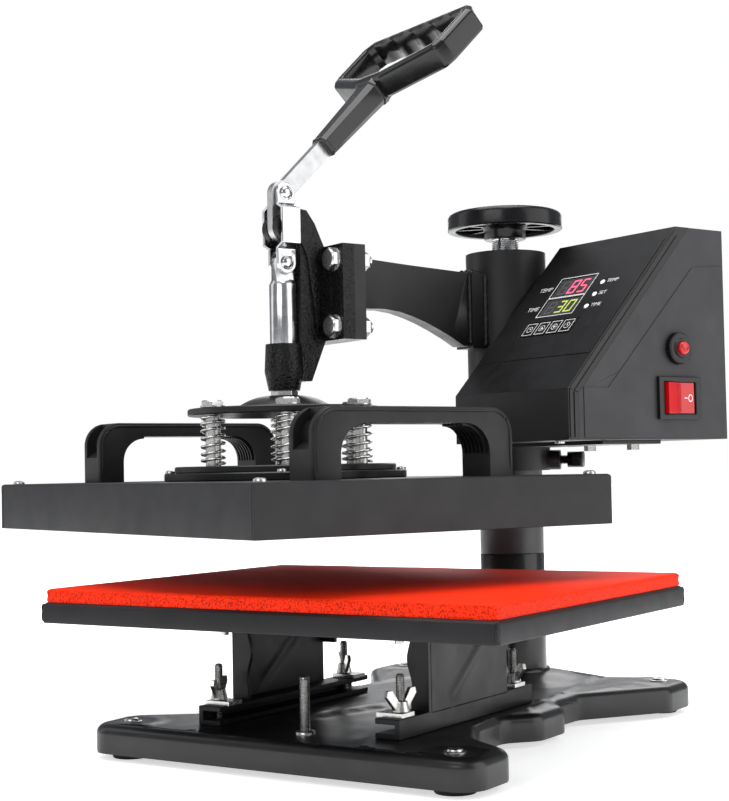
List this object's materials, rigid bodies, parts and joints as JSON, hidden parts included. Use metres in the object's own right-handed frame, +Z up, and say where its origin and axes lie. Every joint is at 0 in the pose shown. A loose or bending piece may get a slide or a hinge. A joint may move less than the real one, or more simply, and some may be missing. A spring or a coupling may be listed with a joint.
{
  "type": "heat press",
  "caption": "Swing-away flatbed heat press: heated platen on a toggle lever and post arm, foam-padded lower platen on a pressed base, with a control box beside the post.",
  "frame": {"origin": "middle of the footprint of the whole press at floor level, as it stands with the head swung part open", "axes": "+X to the operator's right, +Y away from the operator towards the post, +Z up"},
  "size_m": [0.4206, 0.3968, 0.4655],
  "materials": {
    "base_black": "satin black powder coat",
    "leg_black": "semi-gloss black powder coat",
    "post_black": "gloss black paint",
    "post_upper_black": "satin dark grey-black",
    "pan_black": "satin black powder coat",
    "foot_rubber": "matt",
    "zinc": "zinc plated",
    "foam": "open-pore silicone sponge",
    "bronze": "machined",
    "chrome": "polished",
    "knob_plastic": "semi-gloss black",
    "sleeve_black": "satin black paint",
    "casting_black": "hammered black paint",
    "steel": "turned",
    "shell_plastic": "satin black moulding",
    "cover_grey": "fine-textured dark grey",
    "display": "smoked window over lit digits",
    "lamp": "small indicator lamps",
    "key_black": "membrane key with printed outline",
    "rocker_red": "translucent red",
    "switch_black": "moulded",
    "gland_plastic": "moulded",
    "lever_steel": "bright zinc",
    "grip_plastic": "gloss black",
    "disc_black": "satin black",
    "cover_sheet": "fine-textured black",
    "platen_alu": "dark coated working face",
    "bow_plastic": "fine matt black",
    "spring_steel": "zinc plated wire"
  },
  "bodies": {
    "base": {"base_plate": "base_black", "rubber_feet": "foot_rubber", "foot_screws": "zinc", "post_lower": "post_black", "post_upper": "post_upper_black", "leg_left": "leg_black", "leg_right": "leg_black", "rail_studs": "zinc", "rail_clips": "zinc", "centre_stud": "zinc", "lower_platen": "pan_black", "platen_bolts": "zinc", "foam_pad": "foam"},
    "wing_nut_1": {"wing_nut_front_left": "zinc"},
    "wing_nut_2": {"wing_nut_rear_left": "zinc"},
    "wing_nut_3": {"wing_nut_front_right": "zinc"},
    "wing_nut_4": {"wing_nut_rear_right": "zinc"},
    "lift": {"lift_bush": "bronze"},
    "wheel": {"jack_screw": "chrome", "handwheel": "knob_plastic"},
    "head": {"head_sleeve": "sleeve_black", "arm_plate": "sleeve_black", "toggle_casting": "casting_black", "lever_pin": "steel", "flange_bolts": "zinc", "box_front": "shell_plastic", "box_rear": "cover_grey", "display_windows": "display", "led_lamps": "lamp", "rocker_bezel": "switch_black", "reset_bezel": "switch_black", "box_bracket": "sleeve_black", "box_screws": "zinc", "cord_gland": "gland_plastic"},
    "key_a": {"key_1": "key_black"},
    "key_b": {"key_2": "key_black"},
    "key_c": {"key_3": "key_black"},
    "key_d": {"key_4": "key_black"},
    "switch": {"rocker": "rocker_red"},
    "breaker": {"reset_button": "rocker_red"},
    "clamp": {"clamp_knob": "knob_plastic"},
    "lever": {"lever_bar": "lever_steel", "lever_grip": "grip_plastic", "hand_ring": "grip_plastic"},
    "straps": {"toggle_straps": "chrome", "link_rivets": "chrome"},
    "plunger": {"plunger_rod": "steel", "lock_nut": "zinc", "pressure_plate": "disc_black"},
    "platen": {"guide_bolts": "zinc", "springs": "spring_steel", "disc_lower": "disc_black", "disc_upper": "disc_black", "platen_cover": "cover_sheet", "heating_platen": "platen_alu", "bow_handle_left": "bow_plastic", "bow_handle_right": "bow_plastic", "platen_screws": "zinc"}
  },
  "joints": [
    {"name": "wheel_turn", "type": "hinge", "parent": "base", "child": "wheel", "pos_m": [0.05676, 0.14747, 0.34], "axis": [0, 0, 1], "range_deg": [-900, 0]},
    {"name": "height", "type": "slide", "parent": "base", "child": "lift", "axis": [0, 0, 1], "range_m": [0, 0.01]},
    {"name": "swing", "type": "hinge", "parent": "lift", "child": "head", "pos_m": [0.05676, 0.14747, 0.24], "axis": [0, 0, 1], "range_deg": [-68, 21.9]},
    {"name": "lever_turn", "type": "hinge", "parent": "head", "child": "lever", "pos_m": [-0.01205, -0.02371, 0.3181], "axis": [0.9278, -0.373, 0], "range_deg": [0, 180]},
    {"name": "strap_turn", "type": "hinge", "parent": "lever", "child": "straps", "pos_m": [-0.01205, -0.02371, 0.3401], "axis": [0.9278, -0.373, 0], "range_deg": [-180, 0]},
    {"name": "plunger_slide", "type": "slide", "parent": "head", "child": "plunger", "axis": [0, 0, 1], "range_m": [-0.044, 0]},
    {"name": "platen_float", "type": "slide", "parent": "plunger", "child": "platen", "axis": [0, 0, 1], "range_m": [0, 0.0127], "deforming": ["springs"]},
    {"name": "power_rocker", "type": "hinge", "parent": "head", "child": "switch", "pos_m": [0.19355, 0.11588, 0.206], "axis": [0, 0, 1], "range_deg": [-14, 0]},
    {"name": "reset_push", "type": "slide", "parent": "head", "child": "breaker", "axis": [-0.9278, 0.373, 0], "range_m": [0, 0.003], "stiffness_N_per_m": 300},
    {"name": "key_1_push", "type": "slide", "parent": "head", "child": "key_a", "axis": [0.2754, 0.6851, -0.6744], "range_m": [0, 0.0006], "stiffness_N_per_m": 600},
    {"name": "key_2_push", "type": "slide", "parent": "head", "child": "key_b", "axis": [0.2754, 0.6851, -0.6744], "range_m": [0, 0.0006], "stiffness_N_per_m": 600},
    {"name": "key_3_push", "type": "slide", "parent": "head", "child": "key_c", "axis": [0.2754, 0.6851, -0.6744], "range_m": [0, 0.0006], "stiffness_N_per_m": 600},
    {"name": "key_4_push", "type": "slide", "parent": "head", "child": "key_d", "axis": [0.2754, 0.6851, -0.6744], "range_m": [0, 0.0006], "stiffness_N_per_m": 600},
    {"name": "clamp_turn", "type": "hinge", "parent": "head", "child": "clamp", "pos_m": [0.09902, 0.16294, 0.169], "axis": [0.9391, 0.3437, 0], "range_deg": [-180, 180]},
    {"name": "wing_nut_1_turn", "type": "hinge", "parent": "base", "child": "wing_nut_1", "pos_m": [-0.00324, -0.10553, 0.038], "axis": [0, 0, 1], "continuous": true},
    {"name": "wing_nut_2_turn", "type": "hinge", "parent": "base", "child": "wing_nut_2", "pos_m": [-0.00324, 0.02447, 0.038], "axis": [0, 0, 1], "continuous": true},
    {"name": "wing_nut_3_turn", "type": "hinge", "parent": "base", "child": "wing_nut_3", "pos_m": [0.11676, -0.09953, 0.038], "axis": [0, 0, 1], "continuous": true},
    {"name": "wing_nut_4_turn", "type": "hinge", "parent": "base", "child": "wing_nut_4", "pos_m": [0.11676, 0.03047, 0.038], "axis": [0, 0, 1], "continuous": true}
  ],
  "couplings": [
    {"joint": "wheel_turn", "follows": "height", "rad_per_m": -1570.8},
    {"joint": "strap_turn", "follows": "lever_turn", "ratio": -1},
    {"joint": "plunger_slide", "follows": "lever_turn", "m_per_rad": -0.014005},
    {"joint": "platen_float", "follows": "lever_turn", "m_per_rad": 0.004042}
  ]
}
